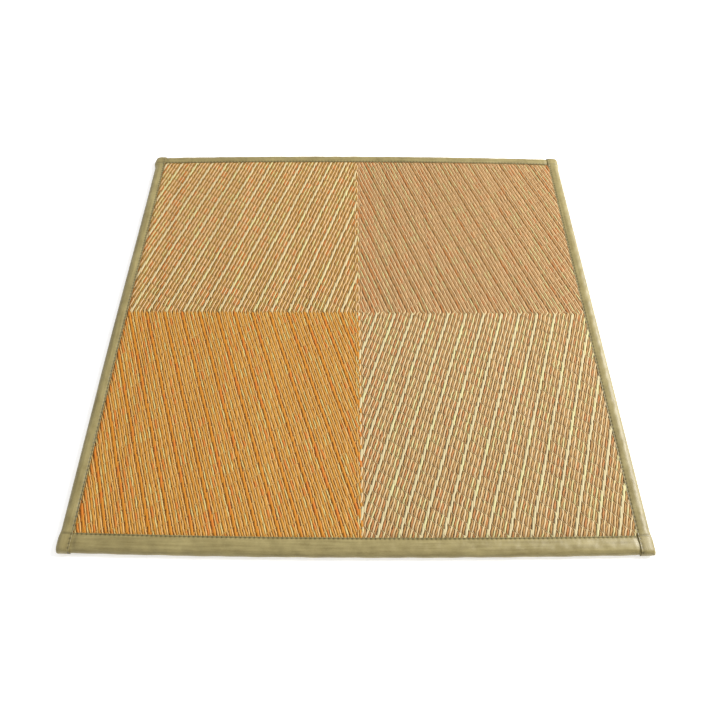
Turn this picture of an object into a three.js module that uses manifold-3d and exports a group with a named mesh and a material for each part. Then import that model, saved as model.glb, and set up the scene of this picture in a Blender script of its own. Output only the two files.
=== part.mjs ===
// A square woven rush mat, bound on its four edges with folded cloth tape.
// X runs left to right, Y front to back and Z up. Lengths are in millimetres.
// The mat lies flat: its origin is under the middle of its outline, on the floor.

import * as THREE from 'three';
import Module from 'manifold-3d';

// Outline, seen from above. The front and back edges bow outwards between the corners,
// the right side is a little longer, and the left side leans inwards towards the back.
const MAT_WIDTH = 880;
const MAT_DEPTH = 880;
const FRONT_BOW = 5.9;
const BACK_BOW = 7.8;
const RIGHT_LONGER = 5.6;
const LEFT_LEAN = 3.5;
const LEAN_START_Y = -130;
const LEAN_END_Y = 400;

// Heights above the floor: the woven face, the padded crown of the tapes and their seam.
const FIELD_HEIGHT = 12;
const CROWN_HEIGHT = 13;
const SEAM_HEIGHT = 11.3;
const TAPE_EDGE_HEIGHT = 11.9;

// The binding tapes: visible width of each, thickness of the doubled cloth, seam inset from
// the tape's inner edge, and the air left between pieces, which is 0.3 or more across slopes.
const SIDE_TAPE_WIDTH = 21;
const FRONT_TAPE_WIDTH = 28;
const BACK_TAPE_WIDTH = 22;
const TAPE_THICKNESS = 1;
const SEAM_INSET = 1.8;
const CLEARANCE = 0.45;

// Where a side tape covers the end of the front or back tape, the covered tape is lifted
// off the floor and pressed flatter. COVERED_INSETS are its sections from its own end, which
// stops short of the mat's outer side. It eases back to full height past COVERED_REACH, and the
// panel under it a little further in.
const COVERED_LIFT = TAPE_THICKNESS + CLEARANCE;
const COVERED_HEIGHT = 12.2;
const COVERED_INSETS = [9, 12, 16, 20];
const COVERED_REACH = SIDE_TAPE_WIDTH + 2;
const COVERED_EASE = 6;
const PANEL_LAG = 2;
const CORNER_PRESS = 0.76;

// How far from the tape the woven face is still pressed down by the seam.
const PRESS_REACH = 3.5;

// Steps along the run of each edge between the stretches near its ends.
const RUN_STEPS = 8;
const END_STRETCH = 60;

// Each corner of a side tape is a closed, tucked end. flare is how far it bulges out,
// and roundAcross by roundAlong is the rounding of its outline. The bulge is full up to
// FLARE_START from the end and gone by FLARE_REACH.
const CORNERS = {
  left_front: { flare: 1.8, roundAcross: 4, roundAlong: 10 },
  left_back: { flare: 2.9, roundAcross: 6, roundAlong: 18 },
  right_front: { flare: 1.5, roundAcross: 2.2, roundAlong: 5 },
  right_back: { flare: 1.8, roundAcross: 3, roundAlong: 8 },
};
const FLARE_START = 20;
const FLARE_REACH = 34;

// The rounded outer shoulder of a tape: inset from the outer line, upper height and lower height.
const SHOULDER = [
  { inset: 0, upper: 6.6, lower: 4.6 },
  { inset: 0.5, upper: 8.5, lower: 2.7 },
  { inset: 2.5, upper: 11, lower: 0.6 },
  { inset: 6.5, upper: 12.6, lower: 0 },
];

const { clamp, lerp, smoothstep } = THREE.MathUtils;

const wasm = await Module();
wasm.setup();

// Upper skin of a tape of this width, from its outer line to its inner edge.
function upperSkin(width) {
  return [
    ...SHOULDER.map((row) => [row.inset, row.upper]),
    [width * 0.5, CROWN_HEIGHT],
    [width * 0.75, lerp(CROWN_HEIGHT, SEAM_HEIGHT, 0.25)],
    [width - SEAM_INSET, SEAM_HEIGHT],
    [width, TAPE_EDGE_HEIGHT],
  ];
}

// Lower skin of a tape of this width, at the same insets.
function lowerSkin(width) {
  return upperSkin(width).map(([inset], k) => [inset, SHOULDER[k]?.lower ?? 0]);
}

// A line of [inset, height] points moved sideways by a distance, with mitred bends. A positive
// distance moves an upper skin down and inwards, and side = -1 does the same for a lower skin.
// The line starts at the mat's upright outer face.
function offsetLine(line, distance, side = 1) {
  const normal = (from, to) => {
    const run = to[0] - from[0];
    const rise = to[1] - from[1];
    const length = Math.hypot(run, rise);
    return [(side * rise) / length, (-side * run) / length];
  };
  return line.map(([inset, height], k) => {
    const before = k === 0 ? [1, 0] : normal(line[k - 1], line[k]);
    const after = k === line.length - 1 ? before : normal(line[k], line[k + 1]);
    const mitre = distance / (1 + before[0] * after[0] + before[1] * after[1]);
    return [inset + mitre * (before[0] + after[0]), height + mitre * (before[1] + after[1])];
  });
}

// Height of a line at an inset, straight between its points and level past its ends.
function heightAt(line, inset) {
  if (inset <= line[0][0]) return line[0][1];
  for (let k = 1; k < line.length; k += 1) {
    if (inset <= line[k][0]) {
      const share = (inset - line[k - 1][0]) / (line[k][0] - line[k - 1][0]);
      return lerp(line[k - 1][1], line[k][1], share);
    }
  }
  return line[line.length - 1][1];
}

// Outer lines of the mat in plan. Each bow is a parabola that is highest at the middle.
const bow = (x, amount) => amount * (1 - (2 * x / MAT_WIDTH) ** 2);
const halfDepth = (x) => (MAT_DEPTH + (RIGHT_LONGER * x) / MAT_WIDTH) / 2;
const frontLine = (x) => -halfDepth(x) - bow(x, FRONT_BOW);
const backLine = (x) => halfDepth(x) + bow(x, BACK_BOW);
const leftLean = (y) => LEFT_LEAN * smoothstep(y, LEAN_START_Y, LEAN_END_Y);

// A station is a place along the mat's depth: so far in from the front or back outer line,
// or a share of the way between the two stretches near the ends.
function stationY(station, x) {
  if (station.from === 'front') return frontLine(x) + station.inset;
  if (station.from === 'back') return backLine(x) - station.inset;
  return lerp(frontLine(x) + END_STRETCH, backLine(x) - END_STRETCH, station.share);
}

// How far the outline moves outwards at a corner: the bulge of the tucked end, less its rounding.
function cornerShift(corner, inset) {
  const bulge = corner.flare * (1 - smoothstep(inset, FLARE_START, FLARE_REACH));
  const near = clamp((corner.roundAlong - inset) / (corner.roundAlong + COVERED_LIFT), 0, 1);
  return bulge - corner.roundAcross * (1 - Math.sqrt(1 - near * near));
}

// X of a point at an inset from the left or right outer line, at a station.
function sideX(side, inset, station) {
  const y = stationY(station, 0);
  const line = MAT_WIDTH / 2 - (side === 'left' ? leftLean(y) : 0);
  const corner = station.from ? CORNERS[`${side}_${station.from}`] : null;
  const share = clamp(1 - inset / SIDE_TAPE_WIDTH, 0, 1);
  const shift = corner ? cornerShift(corner, station.inset) * share : 0;
  return (side === 'left' ? -1 : 1) * (line - inset + shift);
}

// A closed solid between an upper and a lower grid of points, both rows by columns.
function slab(upper, lower) {
  const rows = upper.length;
  const columns = upper[0].length;
  const positions = [...upper.flat(), ...lower.flat()].flatMap((p) => [p.x, p.y, p.z]);
  const top = (r, c) => r * columns + c;
  const bottom = (r, c) => rows * columns + r * columns + c;
  const faces = [];
  const quad = (a, b, c, d) => faces.push(a, b, c, a, c, d);
  for (let r = 0; r + 1 < rows; r += 1) {
    for (let c = 0; c + 1 < columns; c += 1) {
      quad(top(r, c), top(r, c + 1), top(r + 1, c + 1), top(r + 1, c));
      quad(bottom(r, c), bottom(r + 1, c), bottom(r + 1, c + 1), bottom(r, c + 1));
    }
    quad(top(r, 0), top(r + 1, 0), bottom(r + 1, 0), bottom(r, 0));
    quad(top(r, columns - 1), bottom(r, columns - 1), bottom(r + 1, columns - 1), top(r + 1, columns - 1));
  }
  for (let c = 0; c + 1 < columns; c += 1) {
    quad(top(0, c), bottom(0, c), bottom(0, c + 1), top(0, c + 1));
    quad(top(rows - 1, c), top(rows - 1, c + 1), bottom(rows - 1, c + 1), bottom(rows - 1, c));
  }
  return turnedOutwards(positions, faces);
}

// The geometry of these faces, turned over when its volume comes out negative.
function turnedOutwards(positions, faces) {
  const corner = (k) => new THREE.Vector3().fromArray(positions, faces[k] * 3);
  let volume = 0;
  for (let k = 0; k < faces.length; k += 3) {
    volume += corner(k).dot(corner(k + 1).cross(corner(k + 2))) / 6;
  }
  const geometry = new THREE.BufferGeometry();
  geometry.setAttribute('position', new THREE.Float32BufferAttribute(positions, 3));
  geometry.setIndex(volume < 0 ? faces.reverse() : faces);
  return geometry;
}

// Heights at a covered corner, where two tapes lie over each other and the panel gives way.
const pressedTapeHeight = (height) =>
  COVERED_LIFT + (height * (COVERED_HEIGHT - COVERED_LIFT)) / CROWN_HEIGHT;
const RIM_HEIGHT = (SHOULDER[0].upper + SHOULDER[0].lower) / 2;
const pressedPanelHeight = (height) =>
  pressedTapeHeight(RIM_HEIGHT) + (height - RIM_HEIGHT) * CORNER_PRESS;

// Upper and lower skin of the front or back tape at an inset from the mat's side. Under a side
// tape it is lifted and pressed, and it keeps below that tape's own shoulder.
function endTapeSkins(width, sideInset) {
  const covered = 1 - smoothstep(sideInset, COVERED_REACH, COVERED_REACH + COVERED_EASE);
  const pressed = ([inset, height]) => [inset, lerp(height, pressedTapeHeight(height), covered)];
  const ceiling = heightAt(coveringShoulder(), sideInset) - COVERED_LIFT;
  const lowered = ([inset, height]) => [inset, Math.min(height, lerp(height, ceiling, covered))];
  return {
    upper: upperSkin(width).map(pressed).map(lowered),
    lower: lowerSkin(width).map(pressed),
  };
}

// Upper limit of a side tape over the end of another tape: its shoulder, then level.
function coveringShoulder() {
  const level = COVERED_HEIGHT + COVERED_LIFT;
  const stretch = (level - SHOULDER[0].upper) / (CROWN_HEIGHT - SHOULDER[0].upper);
  const raised = SHOULDER.map((row) => [
    row.inset,
    SHOULDER[0].upper + (row.upper - SHOULDER[0].upper) * stretch,
  ]);
  return [...raised, [COVERED_INSETS[0], level], [SIDE_TAPE_WIDTH, level]];
}

// The front or back tape: a U of cloth round the panel's edge, carried along the bowed edge.
function endTape(end, width) {
  const easing = [0, COVERED_EASE / 2, COVERED_EASE].map((step) => COVERED_REACH + step);
  const insets = [...COVERED_INSETS, ...easing];
  const station = { from: end, inset: SIDE_TAPE_WIDTH * 2 };
  const leftX = (inset) => sideX('left', inset, station);
  const rightX = (inset) => sideX('right', inset, station);
  const stops = insets.map((inset) => ({ inset, x: leftX(inset) }));
  for (let k = 0; k <= RUN_STEPS; k += 1) {
    const x = lerp(leftX(END_STRETCH), rightX(END_STRETCH), k / RUN_STEPS);
    stops.push({ inset: END_STRETCH, x });
  }
  stops.push(...insets.map((inset) => ({ inset, x: rightX(inset) })).reverse());
  const outside = [];
  const inside = [];
  for (const { inset, x } of stops) {
    const { upper, lower } = endTapeSkins(width, inset);
    const place = ([across, height]) =>
      new THREE.Vector3(x, stationY({ from: end, inset: across }, x), height);
    outside.push([...upper.slice().reverse(), ...lower].map(place));
    inside.push([
      ...offsetLine(upper, TAPE_THICKNESS).reverse(),
      ...offsetLine(lower, TAPE_THICKNESS, -1),
    ].map(place));
  }
  return slab(outside, inside);
}

// Stations of a side tape whose skin lies a distance outside the end tapes it covers: the tucked
// ends follow the end tapes' own profile, and the run between them is even. The profile is read
// at the covered tape's second section, where the side tape's shoulder no longer lowers it.
function sideStations(distance) {
  const near = (from, width) => {
    const { upper, lower } = endTapeSkins(width, COVERED_INSETS[1]);
    const above = offsetLine(upper, -distance);
    const below = offsetLine(lower, -distance, -1);
    const over = above.map(([inset, height]) => ({
      from, inset, over: height, under: Math.max(heightAt(below, inset), 0),
    }));
    const past = [width + PRESS_REACH, FLARE_REACH].map((inset) => ({ from, inset, over: 0, under: 0 }));
    return [...over, ...past];
  };
  const run = [];
  for (let k = 0; k <= RUN_STEPS; k += 1) run.push({ share: k / RUN_STEPS, over: 0, under: 0 });
  return [...near('front', FRONT_TAPE_WIDTH), ...run, ...near('back', BACK_TAPE_WIDTH).reverse()];
}

// One pillow-shaped solid along a side of the mat, its skins moved inwards by a depth. The mouth
// is how far it reaches past the tape's inner edge.
function sidePillow(side, depth, mouth) {
  const width = SIDE_TAPE_WIDTH;
  const plain = offsetLine(upperSkin(width), depth);
  const raised = offsetLine(coveringShoulder(), depth);
  const floor = offsetLine(lowerSkin(width), depth, -1);
  const insets = [...plain.map(([inset]) => inset), ...(mouth > 0 ? [width + mouth] : [])];
  const upper = [];
  const lower = [];
  for (const station of sideStations(COVERED_LIFT - depth)) {
    const place = (inset, height) => {
      const x = sideX(side, inset, station);
      return new THREE.Vector3(x, stationY(station, x), height);
    };
    const roof = (inset) => {
      const own = heightAt(plain, inset);
      const lifted = Math.min(Math.max(own, station.over), heightAt(raised, inset));
      return station.over > 0 ? Math.min(lifted, Math.max(station.over, heightAt(plain, 0))) : own;
    };
    upper.push(insets.map((inset) => place(inset, roof(inset))));
    lower.push(insets.map((inset) => place(inset, Math.max(heightAt(floor, inset), station.under))));
  }
  return slab(upper, lower);
}

function solidOf(geometry) {
  const mesh = new wasm.Mesh({
    numProp: 3,
    vertProperties: new Float32Array(geometry.getAttribute('position').array),
    triVerts: new Uint32Array(geometry.getIndex().array),
  });
  return new wasm.Manifold(mesh);
}

function geometryOf(solid) {
  const mesh = solid.getMesh();
  const geometry = new THREE.BufferGeometry();
  geometry.setAttribute('position', new THREE.BufferAttribute(mesh.vertProperties, 3));
  geometry.setIndex(new THREE.BufferAttribute(mesh.triVerts, 1));
  return geometry;
}

// A side tape: it wraps the mat's side and closes round both corners, so it is a pillow
// hollowed by a thinner one that opens towards the middle of the mat.
function sideTape(side) {
  const outer = solidOf(sidePillow(side, 0, 0));
  const hollow = solidOf(sidePillow(side, TAPE_THICKNESS, PRESS_REACH));
  return geometryOf(outer.subtract(hollow));
}

// The woven panel: flat on both faces, and thinner under the tapes, where the seams press it.
function rushPanel() {
  const skinDepth = TAPE_THICKNESS + CLEARANCE;
  const rim = (width) => ({
    upper: [...offsetLine(upperSkin(width), skinDepth), [width + PRESS_REACH, FIELD_HEIGHT]],
    lower: [...offsetLine(lowerSkin(width), skinDepth, -1), [width + PRESS_REACH, 0]],
  });
  const rims = { side: rim(SIDE_TAPE_WIDTH), front: rim(FRONT_TAPE_WIDTH), back: rim(BACK_TAPE_WIDTH) };
  const releaseInset = COVERED_REACH + PANEL_LAG;
  const pressedCorner = (sideInset, endInset, width) => {
    const across = 1 - smoothstep(sideInset, releaseInset, releaseInset + COVERED_EASE);
    const along = 1 - smoothstep(endInset, width, width + COVERED_EASE);
    return across * along;
  };
  const insetsOf = (line) => line.map(([inset]) => inset);
  const sideInsets = [
    ...insetsOf(rims.side.upper),
    releaseInset + COVERED_EASE / 2,
    releaseInset + COVERED_EASE,
  ];
  const columns = sideInsets.map((inset) => ({ side: 'left', inset }));
  for (let k = 0; k <= RUN_STEPS; k += 1) columns.push({ share: k / RUN_STEPS, inset: END_STRETCH });
  columns.push(...sideInsets.map((inset) => ({ side: 'right', inset })).reverse());
  const endStations = (from) => [
    ...insetsOf(rims[from].upper),
    FLARE_REACH,
  ].map((inset) => ({ from, inset }));
  const rows = endStations('front');
  for (let k = 0; k <= RUN_STEPS; k += 1) rows.push({ share: k / RUN_STEPS, inset: END_STRETCH });
  rows.push(...endStations('back').reverse());

  const upper = [];
  const lower = [];
  for (const row of rows) {
    const end = row.from ? rims[row.from] : rims.front;
    const width = row.from === 'back' ? BACK_TAPE_WIDTH : FRONT_TAPE_WIDTH;
    const upperRow = [];
    const lowerRow = [];
    for (const column of columns) {
      const x = column.side
        ? sideX(column.side, column.inset, row)
        : lerp(sideX('left', END_STRETCH, row), sideX('right', END_STRETCH, row), column.share);
      const pressed = pressedCorner(column.inset, row.inset, width);
      const settle = (height) => lerp(height, pressedPanelHeight(height), pressed);
      const roof = Math.min(heightAt(rims.side.upper, column.inset), heightAt(end.upper, row.inset));
      const floor = Math.max(heightAt(rims.side.lower, column.inset), heightAt(end.lower, row.inset));
      const y = stationY(row, x);
      upperRow.push(new THREE.Vector3(x, y, settle(roof)));
      lowerRow.push(new THREE.Vector3(x, y, settle(floor)));
    }
    upper.push(upperRow);
    lower.push(lowerRow);
  }
  return slab(upper, lower);
}

function named(name, geometry, material) {
  const mesh = new THREE.Mesh(geometry, material);
  mesh.name = name;
  return mesh;
}

const rush = () => new THREE.MeshStandardMaterial({ color: 0xcfa468, roughness: 0.7, metalness: 0 });
const tapeCloth = () => new THREE.MeshStandardMaterial({ color: 0xa89c70, roughness: 0.55, metalness: 0 });

const mat = new THREE.Group();
mat.add(
  named('rush_panel', rushPanel(), rush()),
  named('binding_front', endTape('front', FRONT_TAPE_WIDTH), tapeCloth()),
  named('binding_back', endTape('back', BACK_TAPE_WIDTH), tapeCloth()),
  named('binding_left', sideTape('left'), tapeCloth()),
  named('binding_right', sideTape('right'), tapeCloth()),
);

// The bows and bulges differ from edge to edge, so the group is centred by its own box.
const box = new THREE.Box3().setFromObject(mat);
const centre = box.getCenter(new THREE.Vector3());
mat.position.set(-centre.x, -centre.y, -box.min.z);

export default mat;
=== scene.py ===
"""A square woven rush mat in four dyed quarters, bound with olive satin tape."""

import math

import bpy
import numpy as np
from mathutils import Matrix, Vector


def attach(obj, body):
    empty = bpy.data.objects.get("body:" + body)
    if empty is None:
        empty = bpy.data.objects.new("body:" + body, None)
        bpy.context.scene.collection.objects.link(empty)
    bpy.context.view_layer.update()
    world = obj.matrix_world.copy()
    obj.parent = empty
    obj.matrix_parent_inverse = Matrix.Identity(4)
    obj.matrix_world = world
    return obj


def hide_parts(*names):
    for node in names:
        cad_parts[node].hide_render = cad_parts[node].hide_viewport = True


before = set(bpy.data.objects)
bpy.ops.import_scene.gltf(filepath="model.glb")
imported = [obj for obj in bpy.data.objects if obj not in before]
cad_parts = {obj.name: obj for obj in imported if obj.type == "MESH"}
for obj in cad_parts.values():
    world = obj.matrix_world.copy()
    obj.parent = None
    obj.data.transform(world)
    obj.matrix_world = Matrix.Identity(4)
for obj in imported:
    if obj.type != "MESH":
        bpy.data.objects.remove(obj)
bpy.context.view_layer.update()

# The view. A camera held about a metre over the floor in front of the mat looks down on it
# steeply. Positions are in metres, and the photograph is taken to be 720 pixels square.
PHOTO_PIXELS = 720
CAMERA_PLACE = (-0.00564, -0.77197, 0.98957)
CAMERA_TILT = 55.493
CAMERA_YAW = 0.980
CAMERA_ROLL = 0.993
FOCAL_PIXELS = 679.46
SENSOR_WIDTH = 36

lens_data = bpy.data.cameras.new("photo_camera")
lens_data.sensor_fit = "HORIZONTAL"
lens_data.sensor_width = SENSOR_WIDTH
lens_data.lens = SENSOR_WIDTH * FOCAL_PIXELS / PHOTO_PIXELS
camera = bpy.data.objects.new("photo_camera", lens_data)
bpy.context.scene.collection.objects.link(camera)
turn = (
    Matrix.Rotation(math.radians(-CAMERA_YAW), 4, "Z")
    @ Matrix.Rotation(math.radians(90 - CAMERA_TILT), 4, "X")
    @ Matrix.Rotation(math.radians(CAMERA_ROLL), 4, "Z")
)
camera.matrix_world = Matrix.Translation(CAMERA_PLACE) @ turn
bpy.context.scene.camera = camera

# The mat's body. Under the face rushes lies a dense layer of the same rushes, pressed
# thinner where the tapes are sewn on. It shows between the rushes as a ground coloured dark
# with painted shade, and from below as the reverse of the weave, with painted shade in its
# grooves. Lengths from here on are in millimetres.
MM = 0.001
MAT_WIDTH = 880
MAT_DEPTH = 880
FRONT_BOW = 5.9
BACK_BOW = 7.8
RIGHT_LONGER = 5.6
LEFT_LEAN = 3.5
LEAN_FROM, LEAN_TO = -130, 400
# The middle between the edges without their bows lies this far in front of the origin.
MIDDLE_Y = 0.94
SIDE_TAPE = 21
FRONT_TAPE = 28
BACK_TAPE = 22
# The pressed stretch at a seam eases to full thickness over this far past the tape.
SEAM_EASE = 3.5
# Where the four quarters meet, the mean pitch of the rushes, and one step along them.
CROSS_X, CROSS_Y = 3.5, 3.5
RUSH_PITCH = 2.94
STEP = 4.43
TWILL_STEP = 2
HALF_FLOAT = 2.75
BODY_TOP = 11.0
PRESSED_TOP, PRESSED_BOTTOM = 9.6, 1.3
RIM_HEIGHT = 5.9
RIM_ROUNDING = 6.0
BODY_INSET = 2.6
# Stations in from the rim, where the form changes, and how many more lie evenly between.
NEAR_STATIONS = np.array([0, 0.3, 1, 2, 3.5, 6, 9, 14, 19, 22, 25, 28, 32, 36])
EVEN_STATIONS = 24


def smoothstep(low, high, value):
    """0 up to low, 1 from high on, and 3t^2 - 2t^3 between them."""
    t = np.clip((value - low) / (high - low), 0, 1)
    return t * t * (3 - 2 * t)


def lerp(a, b, share):
    """A straight blend from a to b."""
    return a + (b - a) * share


def front_line(x):
    """Outer front edge: half the depth at x, bowed outwards as a parabola."""
    half = (MAT_DEPTH + RIGHT_LONGER * x / MAT_WIDTH) / 2
    return -half - FRONT_BOW * (1 - (2 * x / MAT_WIDTH) ** 2) - MIDDLE_Y


def back_line(x):
    """Outer back edge: half the depth at x, bowed outwards as a parabola."""
    half = (MAT_DEPTH + RIGHT_LONGER * x / MAT_WIDTH) / 2
    return half + BACK_BOW * (1 - (2 * x / MAT_WIDTH) ** 2) - MIDDLE_Y


def side_line(side, y):
    """Outer left (-1) or right (1) edge at y. The left one leans inwards to the back."""
    lean = LEFT_LEAN * smoothstep(LEAN_FROM, LEAN_TO, y + MIDDLE_Y)
    return side * (MAT_WIDTH / 2 - (lean if side < 0 else 0 * y))


def grid_faces(rows, columns, wrap=False):
    """Corner numbers of the quads of a grid of points, its columns joined round if wrap."""
    r = np.arange(rows - 1)[:, None] * columns
    c = np.arange(columns if wrap else columns - 1)[None, :]
    d = (c + 1) % columns
    return np.stack([r + c, r + d, r + columns + d, r + columns + c], -1).reshape(-1, 4)


def add_piece(name, points, faces, materials, attributes=None, uv=None, face_material=None):
    """A smooth mesh from points in millimetres and lists of faces with equal corner counts.
    attributes are numbers for each point, and uv a pair for each point."""
    mesh = bpy.data.meshes.new(name)
    sizes = np.concatenate([np.full(len(block), block.shape[1]) for block in faces])
    used, corners = np.unique(np.concatenate([block.ravel() for block in faces]), return_inverse=True)
    points = np.asarray(points, float).reshape(-1, 3)[used]
    mesh.vertices.add(len(points))
    mesh.vertices.foreach_set("co", (points * MM).astype(np.float32).ravel())
    mesh.loops.add(len(corners))
    mesh.loops.foreach_set("vertex_index", corners.astype(np.int32).ravel())
    mesh.polygons.add(len(sizes))
    mesh.polygons.foreach_set("loop_start", (np.cumsum(sizes) - sizes).astype(np.int32))
    mesh.update(calc_edges=True)
    mesh.polygons.foreach_set("use_smooth", np.ones(len(sizes), bool))
    for title, values in (attributes or {}).items():
        layer = mesh.attributes.new(title, "FLOAT", "POINT")
        layer.data.foreach_set("value", np.asarray(values, np.float32).ravel()[used])
    if uv is not None:
        pairs = np.asarray(uv, np.float32).reshape(-1, 2)[used]
        mesh.uv_layers.new(name="UVMap").data.foreach_set("uv", pairs[corners.ravel()].ravel())
    for material in materials:
        mesh.materials.append(material)
    if face_material is not None:
        mesh.polygons.foreach_set("material_index", np.asarray(face_material, np.int32))
    mesh.validate()
    piece = bpy.data.objects.new(name, mesh)
    bpy.context.scene.collection.objects.link(piece)
    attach(piece, "root")
    return piece


def rgb(red, green, blue):
    """A colour given as display values from 0 to 255, as linear numbers for a socket."""
    values = np.array([red, green, blue]) / 255
    linear = np.where(values <= 0.04045, values / 12.92, ((values + 0.055) / 1.055) ** 2.4)
    return (*(float(v) for v in linear), 1.0)


def add_node(tree, kind, settings=None, **inputs):
    """A shader node. Each input is another node's output, or a value for the socket. An input
    is named with _ for a space, or by its number as _0."""
    made = tree.nodes.new(kind)
    for key, value in (settings or {}).items():
        setattr(made, key, value)
    for key, value in inputs.items():
        numbered = key[0] == "_" and key[1:].isdigit()
        socket = made.inputs[int(key[1:]) if numbered else key.replace("_", " ")]
        if isinstance(value, bpy.types.NodeSocket):
            tree.links.new(value, socket)
        else:
            socket.default_value = value
    return made


def calc(tree, operation, *values):
    """The output of one arithmetic node."""
    numbered = {f"_{k}": value for k, value in enumerate(values)}
    return add_node(tree, "ShaderNodeMath", {"operation": operation}, **numbered).outputs[0]


def blend(tree, share, a, b):
    """A colour blended from a to b."""
    return add_node(tree, "ShaderNodeMix", {"data_type": "RGBA"}, _0=share, _6=a, _7=b).outputs[2]


def noise(tree, place, scale, detail):
    """A soft random pattern from 0 to 1 with this many waves to a unit of place."""
    made = add_node(tree, "ShaderNodeTexNoise", Vector=place, Scale=scale, Detail=detail)
    return made.outputs["Fac"]


def new_material(name):
    """A material with only its surface shader and output: the material, tree and shader."""
    material = bpy.data.materials.new(name)
    material.use_nodes = True
    tree = material.node_tree
    return material, tree, tree.nodes["Principled BSDF"]


def set_surface(tree, shader, colour, height, relief, roughness):
    """Gives a surface its colour, bump and roughness. relief is the bump's height in metres and
    its strength."""
    tree.links.new(colour, shader.inputs["Base Color"])
    bump = add_node(tree, "ShaderNodeBump", Height=height, Distance=relief[0], Strength=relief[1])
    tree.links.new(bump.outputs["Normal"], shader.inputs["Normal"])
    shader.inputs["Roughness"].default_value = roughness


def new_group(name, colours, numbers=()):
    """A shader node group with these inputs, which puts out Color and Height: the group, the
    values given to it and the sockets of its result."""
    group = bpy.data.node_groups.new(name, "ShaderNodeTree")
    for title in colours:
        group.interface.new_socket(title, in_out="INPUT", socket_type="NodeSocketColor")
    for title in numbers:
        group.interface.new_socket(title, in_out="INPUT", socket_type="NodeSocketFloat")
    group.interface.new_socket("Color", in_out="OUTPUT", socket_type="NodeSocketColor")
    group.interface.new_socket("Height", in_out="OUTPUT", socket_type="NodeSocketFloat")
    given = group.nodes.new("NodeGroupInput").outputs
    result = group.nodes.new("NodeGroupOutput").inputs
    return group, given, result


def group_material(name, group, relief, roughness, specular, colours, **numbers):
    """A material whose colour and height come from a group with these values."""
    material, tree, shader = new_material(name)
    tones = {title: rgb(*values) for title, values in colours.items()}
    skin = add_node(tree, "ShaderNodeGroup", {"node_tree": group}, **tones, **numbers).outputs
    set_surface(tree, shader, skin["Color"], skin["Height"], relief, roughness)
    shader.inputs["Specular IOR Level"].default_value = specular
    return material


def rush_cloth_group():
    """Shader group for rush cloth in low relief: ribs one rush wide, |sin(pi x)|, crossed by the
    twill's slanting wave. Its colour goes from Rib down to Gap as the relief falls: painted
    shade in the grooves. The front-left quarter, where orange rushes lie on top, has two tones
    of its own."""
    group, given, result = new_group("rush_cloth", ("Rib", "Gap", "Orange rib", "Orange gap"))
    place = add_node(group, "ShaderNodeTexCoord").outputs["Object"]
    split = add_node(group, "ShaderNodeSeparateXYZ", Vector=place).outputs
    across = calc(group, "MULTIPLY", split["X"], 1 / (RUSH_PITCH * MM))
    along = calc(group, "MULTIPLY", split["Y"], 1 / (STEP * MM))
    rib = calc(group, "ABSOLUTE", calc(group, "SINE", calc(group, "MULTIPLY", across, math.pi)))
    slant = calc(group, "MULTIPLY_ADD", calc(group, "FLOOR", across), TWILL_STEP, along)
    float_wave = calc(group, "PINGPONG", slant, HALF_FLOAT)
    lit = calc(group, "MULTIPLY", rib, calc(group, "MULTIPLY_ADD", float_wave, 0.2, 0.35))
    height = calc(group, "MULTIPLY_ADD", noise(group, place, 900, 3), 0.35, lit)
    share = calc(group, "MINIMUM", height, 1.0)
    left = calc(group, "LESS_THAN", split["X"], CROSS_X * MM)
    front = calc(group, "LESS_THAN", split["Y"], CROSS_Y * MM)
    plain = blend(group, share, given["Gap"], given["Rib"])
    orange_tone = blend(group, share, given["Orange gap"], given["Orange rib"])
    colour = blend(group, calc(group, "MULTIPLY", front, left), plain, orange_tone)
    group.links.new(colour, result["Color"])
    group.links.new(height, result["Height"])
    return group


def body_heights(inset, tape):
    """Upper and lower height of the body at an inset from the outer line: a half-round rim,
    level under the tape, and thicker again past the tape's inner edge."""
    t = np.clip((inset - BODY_INSET) / RIM_ROUNDING, 0, 1)
    rim = np.sqrt(1 - (1 - t) ** 2)
    past = smoothstep(tape, tape + SEAM_EASE, inset)
    upper = RIM_HEIGHT + (PRESSED_TOP - RIM_HEIGHT) * rim + (BODY_TOP - PRESSED_TOP) * past
    lower = RIM_HEIGHT - (RIM_HEIGHT - PRESSED_BOTTOM) * rim - PRESSED_BOTTOM * past
    return upper, lower


def make_body(name, face, reverse):
    """Two height fields over the mat's outline, joined at the half-round rim. The face takes the
    lower of the heights that the nearest side and end give, and the underside the higher."""
    near = BODY_INSET + NEAR_STATIONS
    even = np.linspace(0, 1, EVEN_STATIONS + 2)[1:-1]
    span = np.concatenate([near * 0, even, near * 0 + 1])
    inset = np.concatenate([near, np.full(EVEN_STATIONS, near[-1]), near[::-1]])
    share_x, share_y = np.meshgrid(span, span)
    inset_x, inset_y = np.meshgrid(inset, inset)
    side_y = lerp(-MAT_DEPTH / 2, MAT_DEPTH / 2, share_y)
    x = lerp(side_line(-1, side_y) + inset_x, side_line(1, side_y) - inset_x, share_x)
    y = lerp(front_line(x) + inset_y, back_line(x) - inset_y, share_y)
    upper_x, lower_x = body_heights(inset_x, SIDE_TAPE)
    upper_y, lower_y = body_heights(inset_y, np.where(share_y < 0.5, FRONT_TAPE, BACK_TAPE))
    top = np.stack([x, y, np.minimum(upper_x, upper_y)], -1)
    bottom = np.stack([x, y, np.maximum(lower_x, lower_y)], -1)
    rows = len(span)
    faces = grid_faces(rows, rows)
    number = np.arange(rows * rows).reshape(rows, rows)
    under = number + rows * rows
    for edge in (np.s_[0, :], np.s_[-1, :], np.s_[:, 0], np.s_[:, -1]):
        under[edge] = number[edge]
    under_faces = under.reshape(-1)[faces][:, ::-1]
    kinds = np.repeat([0, 1], len(faces))
    return add_piece(name, [top, bottom], [faces, under_faces], [face, reverse], face_material=kinds)


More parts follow.
